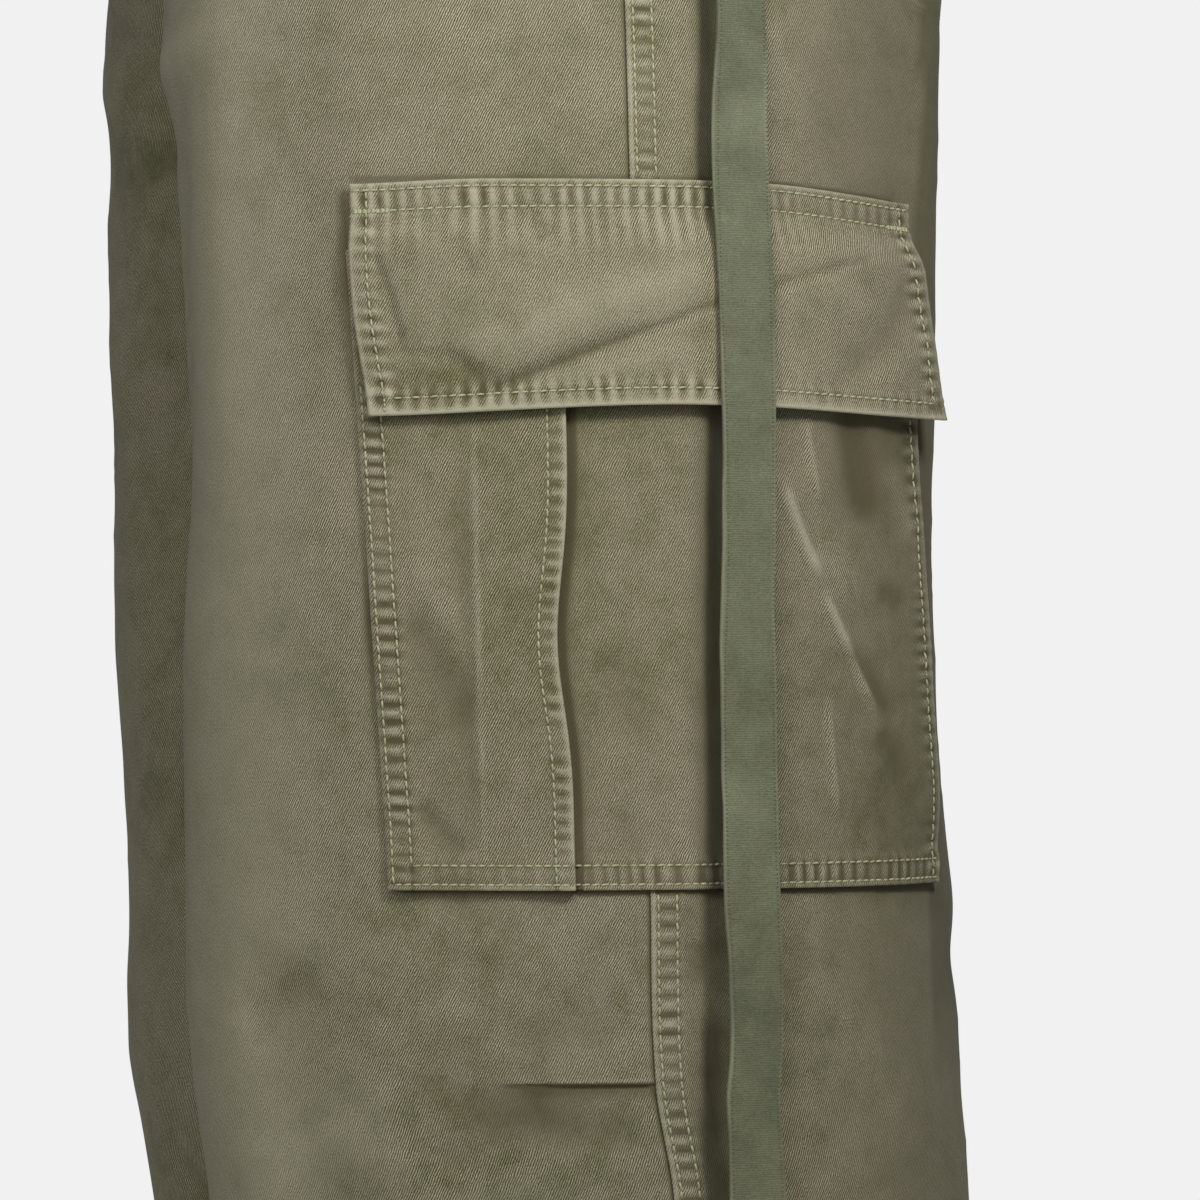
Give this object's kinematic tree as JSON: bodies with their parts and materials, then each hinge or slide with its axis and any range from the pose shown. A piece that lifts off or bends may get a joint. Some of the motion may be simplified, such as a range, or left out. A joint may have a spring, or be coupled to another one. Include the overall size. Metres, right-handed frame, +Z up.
{
  "type": "cargo pants",
  "caption": "Loose straight cargo trousers worn open and hollow, with flapped bellows pockets on the thighs, knee tucks and a hanging tape strap at the side.",
  "frame": {"origin": "middle of the waistband, half way up it, where the wearer holds the garment up", "axes": "+Z up the body, -Y to the wearer's front, +X to the wearer's left"},
  "size_m": [0.4142, 0.2991, 1.06],
  "materials": {
    "twill": "washed olive cotton twill, matte",
    "pocket_twill": "washed olive cotton twill of the pockets, matte",
    "tape": "rib-woven green cotton tape, matte",
    "button": "dark brown button, satin"
  },
  "bodies": {
    "root": {"front_left": "twill", "front_right": "twill", "back_left": "twill", "back_right": "twill", "waistband_left": "twill", "waistband_right": "twill", "fly_placket": "twill", "waist_button": "button", "cargo_pocket_left": "pocket_twill", "cargo_pocket_right": "pocket_twill", "cargo_flap_left": "pocket_twill", "cargo_flap_right": "pocket_twill", "strap_left": "tape"}
  },
  "joints": []
}
